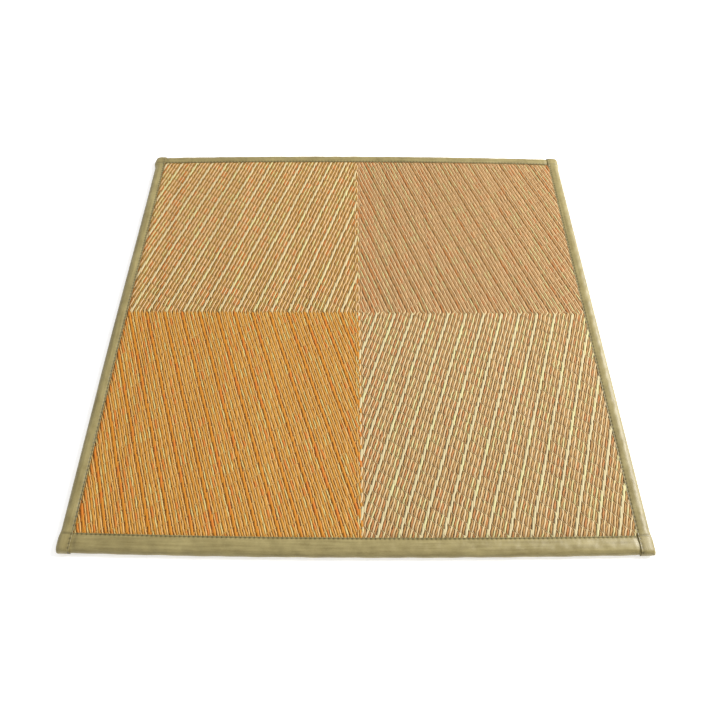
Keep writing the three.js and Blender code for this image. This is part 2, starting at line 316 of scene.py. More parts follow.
rush_cloth = rush_cloth_group()
CLOTH_RELIEF = (0.0006, 0.8)
# Painted shade: the face of the ground takes dark copies of the reverse's rush tones, for the shade between
# the face rushes. Its front-left pair is tinted with the orange dye.
ground = group_material("rush_ground_painted_shade", rush_cloth, CLOTH_RELIEF, 0.7, 0.5, {
    "Rib": (132, 100, 54), "Gap": (84, 60, 30), "Orange rib": (180, 116, 36), "Orange gap": (136, 82, 20),
})
reverse_weave = group_material("rush_reverse", rush_cloth, CLOTH_RELIEF, 0.7, 0.5, {
    "Rib": (205, 168, 112), "Gap": (120, 82, 44), "Orange rib": (205, 162, 100), "Orange gap": (128, 84, 40),
})
mat_body = make_body("mat_body", ground, reverse_weave)
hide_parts("rush_panel")

# The face rushes. Each is a whole dried stem from front to back, natural or dyed, pale and
# dyed stems taking turns. They are woven over and under cotton warps, so that in each
# quarter one of the two colours lies on top in slanting ribs, and the other shows in spots.
RUSH_LEAN = math.tan(math.radians(0.5))
CYCLE = 22
DIPS = (0, 5, 10, 15)
FIELD_LEFT, FIELD_RIGHT = -427.5, 425.5
FIELD_FRONT, FIELD_BACK = -425, 431
LEFT_PITCH, RIGHT_PITCH = 2.915, 2.975
# The seam lies this far in from the tape's inner edge.
SEAM_INSET = 1.8
# Height of a stem's crown where it floats, shows as a spot, dips and is sewn down.
CROWN_UP, CROWN_SPOT, CROWN_DOWN, CROWN_SEWN = 12.6, 12.35, 11.7, 10.2
HALF_HEIGHT = 0.85
NATURAL_FLOAT, NATURAL_SPOT, DYED_FLOAT, DYED_SPOT, LOW_WIDTH = 3.35, 3.0, 4.0, 3.9, 2.8
# How much wider the longest floats swell, as a share.
NATURAL_SWELL, DYED_SWELL = 0.38, 0.12
FLOAT_SWAY, LONG_SWAY = 2.6, 2.9
SHOULDER_LEVEL, SHOULDER_SHIFT = 0.9, 0.3
STRAY_SHARE = 0.05
# Each side of the middle line, so many rushes are held back from swaying over it.
HELD_SHARE = 0.8
HELD_RUSHES = 2
# The steps drift to and fro along the mat as a sine: its height in mm and its turn per step.
DRIFT, DRIFT_TURN = 0.7, 0.21
# Spreads of the random draws, in mm, and of the widths as shares.
ALONG_SPREAD, STEM_SPREAD, SWAY_SPREAD, CROWN_SPREAD = 0.45, 0.12, 0.26, 0.05
STEM_WIDTH_SPREAD, STATION_WIDTH_SPREAD = 0.07, 0.05
# Height share and sideways sway, in mm, over the five steps around the middle of a spot:
# short ones of the thick dyed stems, and long ones of natural stems that join into lines.
SHORT_SPOT = ((0.15, 0.7, 1, 0.7, 0.15), (-1.6, -1.6, 0, 1.6, 1.6))
LONG_SPOT = ((0.5, 0.9, 1, 0.9, 0.5), (-2.7, -1.4, 0, 1.4, 2.7))
# A stem's section, as shares of half its width and height.
RUSH_RING = np.array([[0, 1], [0.74, 0.5], [0.98, -0.6], [-0.98, -0.6], [-0.74, 0.5]])
# Float numbers of the back half start here, to differ from those of the front half.
BACK_NUMBERS = 100


def field_depth(x, y):
    """How far a point lies inside the tapes' inner edges, less than 0 under a tape: the least
    of its distances to the four."""
    return np.minimum.reduce([
        x - side_line(-1, y) - SIDE_TAPE,
        side_line(1, y) - x - SIDE_TAPE,
        y - front_line(x) - FRONT_TAPE,
        back_line(x) - y - BACK_TAPE,
    ])


def tube_faces(count, stations, ring):
    """Walls and two ends of many closed tubes, each made of rings of points in a row."""
    start = (np.arange(count) * stations * ring)[:, None, None]
    walls = (grid_faces(stations, ring, wrap=True)[None] + start).reshape(-1, 4)
    first = np.arange(ring)[None, :]
    ends = np.concatenate([first, first[:, ::-1] + (stations - 1) * ring])[None] + start
    return [walls, ends.reshape(-1, ring)]


def cycle_tables(on_top, spot):
    """Height share, sideways sway, shift along the stem, swell and float number at each whole
    step of the cycle. A rush on top lies in slanting floats and crosses quickly under the warps
    between them, and its longest float swells. One in the lower layer rises there as a spot."""
    level, sway, shift, swell, number = (np.zeros(CYCLE) for _ in range(5))
    ends = [*DIPS[1:], CYCLE]
    for k, (start, end) in enumerate(zip(DIPS, ends)):
        if on_top:
            longest = end - start > DIPS[1]
            reach = LONG_SWAY if longest else FLOAT_SWAY
            level[start + 3:end] = 1
            level[[start, start + 2]] = SHOULDER_LEVEL
            shift[[start, start + 2]] = (SHOULDER_SHIFT, -SHOULDER_SHIFT)
            sway[start + 2:end] = np.linspace(-1, 1, end - start - 1)[:-1] * reach
            sway[end % CYCLE] = reach
            full = longest * np.sin(np.linspace(0.12, 0.88, end - start - 1) * math.pi) ** 0.5
            swell[start + 2:end], swell[end % CYCLE] = full[:-1], full[-1]
            number[start + 1:end] = k
        else:
            around = (start + 1 + np.arange(-2, 3)) % CYCLE
            level[around], sway[around] = spot
            number[around] = k
    return level, sway, shift, swell, number


def strand_field(index, steps, family_on_top, slants, starts, spot):
    """The cycle's tables for numbered strands and whole steps along the mat. The cycle is moved
    by two steps from each rush to the next, one way or the other in each quarter."""
    index = index[:, None]
    halves = []
    for half in (0, 1):
        place = steps[None, :] - TWILL_STEP * slants[half] * index + starts[half]
        tables = cycle_tables(family_on_top[half], spot)
        level, sway, shift, swell, number = (table[place % CYCLE] for table in tables)
        number = number + len(DIPS) * (place // CYCLE)
        halves.append((level, sway * slants[half], shift, swell, number))
    back = (steps > 0)[None, :] & np.ones_like(halves[0][0], bool)
    level, sway, shift, swell, number = (np.where(back, b, f) for f, b in zip(*halves))
    number = (number - number.min() + BACK_NUMBERS * back).astype(int)
    return level, sway, shift, swell, number, back


def make_rushes(name, index, pitch, family_on_top, slants, starts, dyed, material, seed):
    """Closed stems carried along Y, five-sided and crowned. Each station's width, height and
    sideways sway follow its step of the weave, and all of it sinks under the tapes."""
    rng = np.random.default_rng(seed)
    first_step = math.floor((FIELD_FRONT - CROSS_Y) / STEP)
    steps = np.arange(first_step, math.ceil((FIELD_BACK - CROSS_Y) / STEP) + 1)
    spot = SHORT_SPOT if dyed else LONG_SPOT
    field = strand_field(index, steps, family_on_top, slants, starts, spot)
    level, sway, shift, swell, number, back = field
    count, length = level.shape
    from_cross = (index + 0.5)[:, None]
    over_line = np.clip(sway * np.sign(from_cross), 0, None) * (np.abs(from_cross) < HELD_RUSHES)
    sway = sway - HELD_SHARE * over_line * np.sign(from_cross)
    on_top = np.where(back, family_on_top[1], family_on_top[0])
    tone = rng.random((count, number.max() + 1))[np.arange(count)[:, None], number]
    stem = rng.random((count, 1)) + np.zeros((1, length))
    stray = (rng.random((count, 1)) < STRAY_SHARE) + np.zeros((1, length))
    y = CROSS_Y + (steps + shift) * STEP + DRIFT * np.sin(steps * DRIFT_TURN)
    y = y + rng.normal(0, ALONG_SPREAD, level.shape)
    x = CROSS_X + pitch * from_cross
    centre = x - (y - CROSS_Y) * RUSH_LEAN + rng.normal(0, STEM_SPREAD, (count, 1))
    centre = centre + sway + rng.normal(0, SWAY_SPREAD, level.shape)
    float_width, spot_width = (DYED_FLOAT, DYED_SPOT) if dyed else (NATURAL_FLOAT, NATURAL_SPOT)
    swelling = 1 + (DYED_SWELL if dyed else NATURAL_SWELL) * swell
    wide = lerp(LOW_WIDTH, np.where(on_top, float_width, spot_width), level) * swelling
    uneven = 1 + rng.normal(0, STEM_WIDTH_SPREAD, (count, 1))
    wide = wide * (uneven + rng.normal(0, STATION_WIDTH_SPREAD, level.shape))
    crown = lerp(CROWN_DOWN, np.where(on_top, CROWN_UP, CROWN_SPOT), level)
    crown = crown + rng.normal(0, CROWN_SPREAD, level.shape)
    pressed = 1 - smoothstep(-SEAM_INSET, SEAM_EASE, field_depth(centre, y))
    crown = lerp(crown, CROWN_SEWN, pressed)
    ring_x = centre[..., None] + RUSH_RING[:, 0] * wide[..., None] / 2
    ring_y = y[..., None] + 0 * ring_x
    ring_z = (crown - HALF_HEIGHT)[..., None] + RUSH_RING[:, 1] * HALF_HEIGHT
    # lift is 1 where a stem is up and less where it dips or sinks under the tapes: the material paints shade
    # where it is low.
    values = {
        "lift": np.sqrt(level) * (1 - 0.4 * pressed), "tone": tone, "stem": stem, "stray": stray,
        "swell": swell, "spot": 1.0 - on_top,
    }
    ring = len(RUSH_RING)
    attributes = {title: np.repeat(each, ring) for title, each in values.items()}
    points = np.stack([ring_x, ring_y, ring_z], -1)
    return add_piece(name, points, tube_faces(count, length, ring), [material], attributes)


def clamped(tree, value):
    """A number kept between 0 and 1."""
    return calc(tree, "MINIMUM", calc(tree, "MAXIMUM", value, 0.0), 1.0)


def rush_stem_group():
    """Shader group for a dried stem: a tone for each float and stem, another colour for the
    longest floats and for spots, fine streaks along it, and painted shade where it dips and
    where it sinks under the tapes."""
    tones = ("Pale", "Deep", "Long", "Spot", "Fleck", "Shade")
    group, given, result = new_group("rush_stem", tones, ("Fleck share",))
    number = {
        title: add_node(group, "ShaderNodeAttribute", {"attribute_name": title}).outputs["Fac"]
        for title in ("lift", "tone", "stem", "stray", "swell", "spot")
    }
    place = add_node(group, "ShaderNodeTexCoord").outputs["Object"]
    stretched = add_node(group, "ShaderNodeMapping", Vector=place, Scale=(2200, 60, 2200)).outputs[0]
    streak = noise(group, stretched, 1, 2)
    patch = noise(group, place, 9, 2)
    tone = calc(group, "MULTIPLY_ADD", number["stem"], 0.35, calc(group, "MULTIPLY", number["tone"], 0.55))
    tone = calc(group, "ADD", tone, calc(group, "MULTIPLY_ADD", streak, 0.5, -0.25))
    tone = calc(group, "ADD", tone, calc(group, "MULTIPLY_ADD", patch, 0.6, -0.3))
    colour = blend(group, clamped(group, tone), given["Pale"], given["Deep"])
    colour = blend(group, calc(group, "MULTIPLY", number["swell"], 0.75), colour, given["Long"])
    # Spots blend to the Spot colour, which for the dyed stems is a darker tone of painted shade and for the
    # left natural stems a painted orange reflection with painted shade.
    colour = blend(group, calc(group, "MULTIPLY", number["spot"], 0.75), colour, given["Spot"])
    pick = calc(group, "FRACT", calc(group, "MULTIPLY_ADD", number["tone"], 7.3, number["stem"]))
    flecked = calc(group, "MULTIPLY", calc(group, "LESS_THAN", pick, given["Fleck share"]), 0.6)
    flecked = calc(group, "MAXIMUM", flecked, calc(group, "MULTIPLY", number["stray"], 0.5))
    colour = blend(group, flecked, colour, given["Fleck"])
    # Painted shade: where lift is low the colour goes most of the way to Shade.
    shaded = blend(group, 0.8, colour, given["Shade"])
    group.links.new(blend(group, number["lift"], shaded, colour), result["Color"])
    group.links.new(streak, result["Height"])
    return group


rush_stem = rush_stem_group()
STEM_RELIEF = (0.0003, 0.4)
# Each Shade colour is painted shade. The dyed stems' Spot colours are darker tones of painted shade, and the
# left natural stems' Shade and Spot are tinted orange as a painted reflection from the orange stems beside
# them.
natural_left = group_material("rush_natural_left", rush_stem, STEM_RELIEF, 0.55, 0.25, {
    "Pale": (216, 180, 132), "Deep": (200, 160, 104), "Long": (206, 194, 150), "Spot": (212, 166, 92),
    "Fleck": (204, 196, 132), "Shade": (142, 104, 34),
}, Fleck_share=0.2)
orange = group_material("rush_orange", rush_stem, STEM_RELIEF, 0.55, 0.25, {
    "Pale": (198, 144, 58), "Deep": (188, 124, 30), "Long": (198, 124, 24), "Spot": (154, 116, 48),
    "Fleck": (202, 108, 34), "Shade": (120, 84, 20),
}, Fleck_share=0.14)
natural_right = group_material("rush_natural_right", rush_stem, STEM_RELIEF, 0.55, 0.25, {
    "Pale": (212, 188, 144), "Deep": (200, 170, 120), "Long": (200, 192, 150), "Spot": (222, 186, 136),
    "Fleck": (206, 204, 144), "Shade": (124, 96, 44),
}, Fleck_share=0.2)
rose = group_material("rush_rose", rush_stem, STEM_RELIEF, 0.55, 0.25, {
    "Pale": (184, 142, 92), "Deep": (160, 118, 68), "Long": (166, 122, 70), "Spot": (178, 134, 74),
    "Fleck": (184, 112, 56), "Shade": (112, 83, 38),
}, Fleck_share=0.16)

left_index = -1 - np.arange(int((CROSS_X - FIELD_LEFT) / LEFT_PITCH + 0.5))
right_index = np.arange(int((FIELD_RIGHT - CROSS_X) / RIGHT_PITCH + 0.5))
# Front, then back: which rushes lie on top, which way the ribs slant, and the cycle's start.
LOWER_FIRST, UPPER_FIRST = (False, True), (True, False)
left_weave, right_weave = ((-1, 1), (0, -4)), ((1, -1), (-3, 2))
rush_pieces = [
    make_rushes("rushes_natural_left", left_index[1::2], LEFT_PITCH, LOWER_FIRST, *left_weave,
                dyed=False, material=natural_left, seed=11),
    make_rushes("rushes_orange", left_index[0::2], LEFT_PITCH, UPPER_FIRST, *left_weave,
                dyed=True, material=orange, seed=12),
    make_rushes("rushes_natural_right", right_index[0::2], RIGHT_PITCH, UPPER_FIRST, *right_weave,
                dyed=False, material=natural_right, seed=13),
    make_rushes("rushes_rose", right_index[1::2], RIGHT_PITCH, LOWER_FIRST, *right_weave,
                dyed=True, material=rose, seed=14),
]

# The warps. They are spun cotton threads from side to side, one at every step of the weave.
# Here they lie straight at the height where they show over the dips, and they sink with the
# rushes under the tapes.
THREAD_SIDES = 4
WARP_RADIUS, WARP_TOP, WARP_SEWN = 0.34, 12.0, 10.6
WARP_STATIONS = 17
WARP_END = 8
WARP_EASE = 6
WARP_SPREAD = 0.15


def tube_points(path, radius, along):
    """Rings of points round paths that keep near the level direction along."""
    across = np.cross(along, (0, 0, 1.0))
    angle = 2 * math.pi * np.arange(THREAD_SIDES) / THREAD_SIDES
    ring = np.sin(angle)[:, None] * across[..., None, :] + np.cos(angle)[:, None] * np.array([0, 0, 1.0])
    return path[..., None, :] + np.asarray(radius)[..., None, None] * ring


def make_warps(name, material, seed):
    """Straight threads across the rushes: a grid of stations along X and threads along Y, with
    one more station close to each end."""
    rng = np.random.default_rng(seed)
    first_step = math.ceil((FIELD_FRONT - CROSS_Y) / STEP)
    y = CROSS_Y + STEP * np.arange(first_step, (FIELD_BACK - CROSS_Y) / STEP)
    x = np.linspace(FIELD_LEFT, FIELD_RIGHT, WARP_STATIONS)
    x = np.concatenate([x[:1], x[:1] + WARP_END, x[1:-1], x[-1:] - WARP_END, x[-1:]])
    path_x, path_y = np.meshgrid(x, y)
    drift = DRIFT * np.sin(path_y / STEP * DRIFT_TURN)
    path_y = path_y + drift + rng.normal(0, WARP_SPREAD, path_y.shape)
    pressed = 1 - smoothstep(-SEAM_INSET, WARP_EASE, field_depth(path_x, path_y))
    path_z = lerp(WARP_TOP, WARP_SEWN, pressed) - WARP_RADIUS
    path = np.stack([path_x, path_y, path_z], -1)
    points = tube_points(path, WARP_RADIUS + 0 * path_z, np.array([1.0, 0, 0]))
    return add_piece(name, points, tube_faces(*path_z.shape, THREAD_SIDES), [material])


def spun_thread_group():
    """Shader group for spun thread: two tones in fine slanting bands that stand for its twist."""
    group, given, result = new_group("spun_thread", ("Light", "Dark"))
    place = add_node(group, "ShaderNodeTexCoord").outputs["Object"]
    bands = {"wave_type": "BANDS", "bands_direction": "DIAGONAL"}
    twist = add_node(group, "ShaderNodeTexWave", bands, Vector=place, Scale=900, Distortion=1)
    group.links.new(blend(group, twist.outputs["Fac"], given["Dark"], given["Light"]), result["Color"])
    group.links.new(twist.outputs["Fac"], result["Height"])
    return group


spun_thread = spun_thread_group()
THREAD_RELIEF = (0.0001, 0.5)
cotton = group_material("warp_cotton", spun_thread, THREAD_RELIEF, 0.75, 0.5, {
    "Light": (150, 118, 72), "Dark": (112, 84, 46),
})
warps = make_warps("warp_threads", cotton, 15)

# The front and back tapes. Each is a doubled strip of olive satin cloth, folded round the
# mat's edge like a U and lockstitched through all layers close to its inner edge. They were
# sewn on first, so that their ends lie under the side tapes.
CLOTH = 0.9
LIFT = 1.45
COVERED_TOP = 12.2
CROWN = 13.25
END_STOP = 9.0
COVERED_TO, COVERED_EASE = 23.0, 6.0
STITCH_PITCH = 6.9
STATIONS_PER_STITCH = 4
FRONT_TAPER = 1.5
BACK_NARROWER = 1.0
# Depth in mm of the dimple at a stitch, the gathers from it, slack folds and fine puckers.
DIMPLE, GATHER, FOLD, PUCKER = 0.4, 0.16, 0.26, 0.12
# Reaches of the dimple and the gathers, and of the painted shade in each dimple.
DIMPLE_REACH, GATHER_REACH, DARK_REACH = 1.1, 4.5, 1.5
# The outer line waves by this much, over this far in.
EDGE_WAVE, EDGE_REACH = 0.25, 6
# One row for each place round the section, from the inner top edge over the crown and the
# outer line to the inner lower edge: inset in mm plus a share of the width, height, and
# height where the tape lies over the end of another.
SECTION = np.array([
    [0.0, 1.0, 10.9, 12.75],
    [0.15, 1.0, 11.4, 13.05],
    [-0.25, 1.0, 11.85, 13.4],
    [-0.9, 1.0, 11.85, 13.5],
    [-SEAM_INSET, 1.0, 11.3, 13.2],
    [-2.8, 1.0, 11.75, 13.3],
    [-5.0, 1.0, 12.3, 13.55],
    [0.0, 0.5, CROWN, 13.75],
    [6.5, 0.0, 12.75, 13.4],
    [3.6, 0.0, 11.6, 12.2],
    [1.6, 0.0, 10.0, 10.6],
    [0.45, 0.0, 8.4, 8.7],
    [0.0, 0.0, RIM_HEIGHT, RIM_HEIGHT],
    [0.45, 0.0, 3.4, 3.4],
    [1.6, 0.0, 1.5, 1.5],
    [3.6, 0.0, 0.4, 0.4],
    [6.5, 0.0, 0.05, 0.05],
    [0.0, 0.5, 0.0, 0.0],
    [-5.0, 1.0, 0.0, 0.0],
    [-2.8, 1.0, 0.0, 0.0],
    [-SEAM_INSET, 1.0, 0.25, 0.25],
    [-0.9, 1.0, 0.0, 0.0],
    [-0.4, 1.0, 0.0, 0.0],
    [-0.1, 1.0, 0.05, 0.05],
    [0.0, 1.0, 0.2, 0.2],
])
SEAM_ROW = 4
NOMINAL_WIDTH = 24
# The inner skin's first rows close the lip: insets from the inner edge, and a drop in height.
LIP_ROWS, LIP_DROP = 4, 0.45
LIP_FROM, LIP_TO = -0.3, -1.3


def smooth_rows(rows, count):
    """The rows' values on a smooth curve through them: cubic pieces whose slopes come from
    each row's neighbours, measured along the section's own length."""
    inset = rows[:, 0] + rows[:, 1] * NOMINAL_WIDTH
    run = np.concatenate([[0], np.cumsum(np.hypot(np.diff(inset), np.diff(rows[:, 2])))])
    slope = np.gradient(rows, run, axis=0)
    at = np.interp(np.linspace(0, len(rows) - 1, count), np.arange(len(rows)), run)
    k = np.clip(np.searchsorted(run, at, side="right") - 1, 0, len(rows) - 2)
    gap = (run[k + 1] - run[k])[:, None]
    t = (at - run[k])[:, None] / gap
    low, high = rows[k], rows[k + 1]
    bend = (1 - t) * slope[k] * gap * t * (1 - t) - t * slope[k + 1] * gap * t * (1 - t)
    return low + (high - low) * (3 * t * t - 2 * t ** 3) + bend


def inner_rows(rows):
    """The section's inner skin: each row moved inwards by the cloth, at right angles."""
    along = np.gradient(np.stack([rows[:, 0] + rows[:, 1] * NOMINAL_WIDTH, rows[:, 2]], -1), axis=0)
    along /= np.hypot(along[:, 0], along[:, 1])[:, None]
    inner = rows.copy()
    inner[:, 0] -= along[:, 1] * CLOTH
    inner[:, 2:] += along[:, :1] * CLOTH
    inner[:LIP_ROWS, 0] = np.linspace(LIP_FROM, LIP_TO, LIP_ROWS)
    inner[:LIP_ROWS, 2:] = rows[0, 2:] - LIP_DROP
    return inner


OUTER_ROWS = smooth_rows(SECTION, 2 * len(SECTION) - 1)
INNER_ROWS = inner_rows(SECTION)


def ripple(at, seed, lengths):
    """A soft random wave: sines of these wavelengths with seeded phases, about -1 to 1."""
    rng = np.random.default_rng(seed)
    waves = [np.sin(2 * math.pi * (at / length + rng.random())) for length in lengths]
    return sum(waves) / len(lengths) ** 0.5


def bell(distance, reach):
    """exp(-(distance / reach)^2): 1 at no distance, and soon 0 past the reach."""
    return np.exp(-((distance / reach) ** 2))


def cloth_relief(along, inset, width, seed):
    """How far the upper skin stands off its smooth section, and how much painted shade it takes
    in the stitch dimples: a dimple at every stitch, the gathers that run from it as bell
    curves, and long slack folds and puckers as random waves that cross the tape at a slant."""
    at_stitch = (0.5 + 0.5 * np.cos(2 * math.pi * along / STITCH_PITCH)) ** 2
    from_seam = width - SEAM_INSET - inset
    dimple = -DIMPLE * at_stitch * bell(from_seam, DIMPLE_REACH)
    gather = -GATHER * at_stitch * bell(from_seam, GATHER_REACH)
    slack = np.clip(np.sin(math.pi * np.clip(inset / (width - SEAM_INSET), 0, 1)), 0, 1)
    folds = FOLD * ripple(along + 0.9 * inset, seed, (37, 23, 61)) * slack
    puckers = PUCKER * ripple(along - 0.5 * inset, seed + 7, (13, 9, 17)) * slack
    return dimple + gather + folds + puckers, at_stitch * bell(from_seam, DARK_REACH)


def cloth_uv(points, run_axis):
    """Each point's place on the unfolded cloth, in metres: the length round the section, and
    the place along the tape."""
    section = np.delete(points, run_axis, -1)
    lengths = np.hypot(*np.moveaxis(np.diff(section, axis=1), 2, 0))
    around = np.pad(np.cumsum(lengths, 1), ((0, 0), (1, 0)))
    return np.stack([around, points[..., run_axis]], -1) * MM


def closed_section(outer_count, inner_count, stations):
    """Faces of a closed strip whose every station is an outer row of points, then an inner
    row going back: the walls, and the two ends filled between the rows."""
    ring = outer_count + inner_count
    walls = grid_faces(stations, ring, wrap=True)
    k = np.arange(inner_count - 1)
    inner = ring - 1 - k
    caps = np.concatenate([
        np.stack([2 * k, 2 * k + 1, inner], -1),
        np.stack([2 * k + 1, inner - 1, inner], -1),
        np.stack([2 * k + 1, 2 * k + 2, inner - 1], -1),
    ])
    return [walls, np.concatenate([caps[:, ::-1], caps + (stations - 1) * ring])]


def front_width(x):
    """The front tape shows a little wider to the left: a straight taper."""
    return FRONT_TAPE - FRONT_TAPER * x / MAT_WIDTH


def back_width(x):
    """The back tape shows the same width all along."""
    return BACK_TAPE - BACK_NARROWER + 0 * x


def make_end_tape(name, end, width_at, material, seed):
    """The section carried along the bowed edge, lifted and pressed flat under the side tapes."""
    sign = -1 if end == "front" else 1
    edge = front_line if end == "front" else back_line
    lean = LEFT_LEAN if end == "back" else 0
    reach = MAT_WIDTH / 2 - END_STOP
    left = -reach + lean
    x = np.linspace(left, reach, STATIONS_PER_STITCH * int((reach - left) / STITCH_PITCH) + 1)[:, None]
    width = width_at(x)
    side_gap = np.minimum(x + MAT_WIDTH / 2 - lean, MAT_WIDTH / 2 - x)
    covered = 1 - smoothstep(COVERED_TO, COVERED_TO + COVERED_EASE, side_gap)
    skins, painted_shade = [], []
    for rows, outside in ((OUTER_ROWS, True), (INNER_ROWS[::-1], False)):
        inset = rows[:, 0] + rows[:, 1] * width
        height = rows[:, 2] + 0 * width
        relief, dark = cloth_relief(x, inset, width, seed)
        upper = height > RIM_HEIGHT
        height = height + np.where(upper, relief, 0)
        wave = EDGE_WAVE * ripple(x + height, seed + 1, (90, 41))
        inset = inset + wave * (inset < EDGE_REACH)
        height = lerp(height, LIFT + height * (COVERED_TOP - LIFT) / CROWN, covered)
        skins.append(np.stack([x + 0 * inset, edge(x) - sign * inset, height], -1))
        painted_shade.append(np.where(upper & outside, dark, 0))
    points = np.concatenate(skins, 1)
    faces = closed_section(len(OUTER_ROWS), len(INNER_ROWS), len(x))
    if end == "back":
        faces = [block[:, ::-1] for block in faces]
    attributes = {"painted_shade": np.concatenate(painted_shade, 1)}
    return add_piece(name, points, faces, [material], attributes, cloth_uv(points, 0))


def satin_material(name, face, low, painted_shade_colour):
    """Satin tape: fine cross-ribs, a mottled and streaky tone from low to face, a soft gloss,
    and painted shade in the dimples where the thread pulls it in and in the side tapes' creases."""
    material, tree, shader = new_material(name)
    place = add_node(tree, "ShaderNodeTexCoord").outputs
    bands = {"wave_type": "BANDS", "bands_direction": "DIAGONAL"}
    weave = add_node(tree, "ShaderNodeTexWave", bands, Vector=place["UV"], Scale=420, Distortion=0.6)
    mottle = noise(tree, place["Object"], 38, 4)
    grain = noise(tree, place["Object"], 900, 2)
    painted_shade = add_node(tree, "ShaderNodeAttribute", {"attribute_name": "painted_shade"}).outputs["Fac"]
    drawn = add_node(tree, "ShaderNodeMapping", Vector=place["UV"], Scale=(260, 14, 1)).outputs[0]
    share = calc(tree, "MULTIPLY_ADD", mottle, 0.8, calc(tree, "MULTIPLY_ADD", grain, 0.5, -0.35))
    share = calc(tree, "MULTIPLY_ADD", noise(tree, drawn, 1, 3), 0.9, calc(tree, "ADD", share, -0.2))
    colour = blend(tree, clamped(tree, share), rgb(*low), rgb(*face))
    # Painted shade in the stitch dimples and creases.
    colour = blend(tree, calc(tree, "MULTIPLY", painted_shade, 0.95), colour, rgb(*painted_shade_colour))
    height = calc(tree, "MULTIPLY_ADD", weave.outputs["Fac"], 0.6, calc(tree, "MULTIPLY", grain, 0.8))
    set_surface(tree, shader, colour, height, (0.00012, 0.6), 0.42)
    shader.inputs["Sheen Weight"].default_value = 0.05
    shader.inputs["Sheen Roughness"].default_value = 0.4
    return material


# The last colour is the painted shade of the stitch dimples and creases.
olive_satin = satin_material("olive_satin", (169, 155, 104), (106, 92, 46), (56, 50, 24))
front_tape = make_end_tape("tape_front", "front", front_width, olive_satin, 21)
back_tape = make_end_tape("tape_back", "back", back_width, olive_satin, 22)
for piece, node in ((front_tape, "binding_front"), (back_tape, "binding_back")):
    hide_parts(node)

# The side tapes, of the same cloth. They run the whole depth of the mat over the ends of the
# others. At each corner the strip's end is turned in and closed, a small soft pouch.
LEFT_WIDTH, RIGHT_WIDTH = 20.0, 21.5
CORNERS = {
    (-1, "front"): {"flare": 1.8, "round_x": 4.0, "round_y": 10.0},
    (-1, "back"): {"flare": 2.9, "round_x": 6.0, "round_y": 18.0},
    (1, "front"): {"flare": 1.5, "round_x": 2.2, "round_y": 5.0},
    (1, "back"): {"flare": 1.8, "round_x": 3.0, "round_y": 8.0},
}
FLARE_FROM, FLARE_TO = 20.0, 34.0
# Stations in from each end, close together where the pouch closes and at its crease.
END_GRID = np.array([
    0, 0.12, 0.45, 1.0, 1.8, 2.9, 4.3, 6, 8, 10.5, 13, 15.5, 18, 20, 21.5, 23, 24.5, 26, 27.5, 29,
    31, 33, 36,
])
POUCH_ROUNDING = 7.0
INNER_EASE = 12
# The tape comes down from the end tape's back over this stretch past its inner edge.
RAISED_FROM, RAISED_TO = 1.5, 8
# The crease beside the covered tape, then the ridge behind it: depth, place and reach.
CREASE_DEPTH, CREASE_PLACE, CREASE_REACH = 1.0, 0.3, 1.4
RIDGE_HEIGHT, RIDGE_PLACE, RIDGE_REACH = 0.35, 3.6, 1.6
# Painted shade in that crease: its strength and reach.
CREASE_DARK, CREASE_DARK_REACH = 0.6, 1.0


def corner_shift(corner, inset):
    """How far the outer line bulges at a corner, less the quarter round of its outline."""
    bulge = corner["flare"] * (1 - smoothstep(FLARE_FROM, FLARE_TO, inset))
    near = np.clip((corner["round_y"] - inset) / (corner["round_y"] + LIFT), 0, 1)
    return bulge - corner["round_x"] * (1 - np.sqrt(1 - near ** 2))


def raised(gap, end_tape):
    """1 where a side tape lies over an end tape, eased to 0 past that tape's inner edge."""
    return 1 - smoothstep(end_tape + RAISED_FROM, end_tape + RAISED_TO, gap)


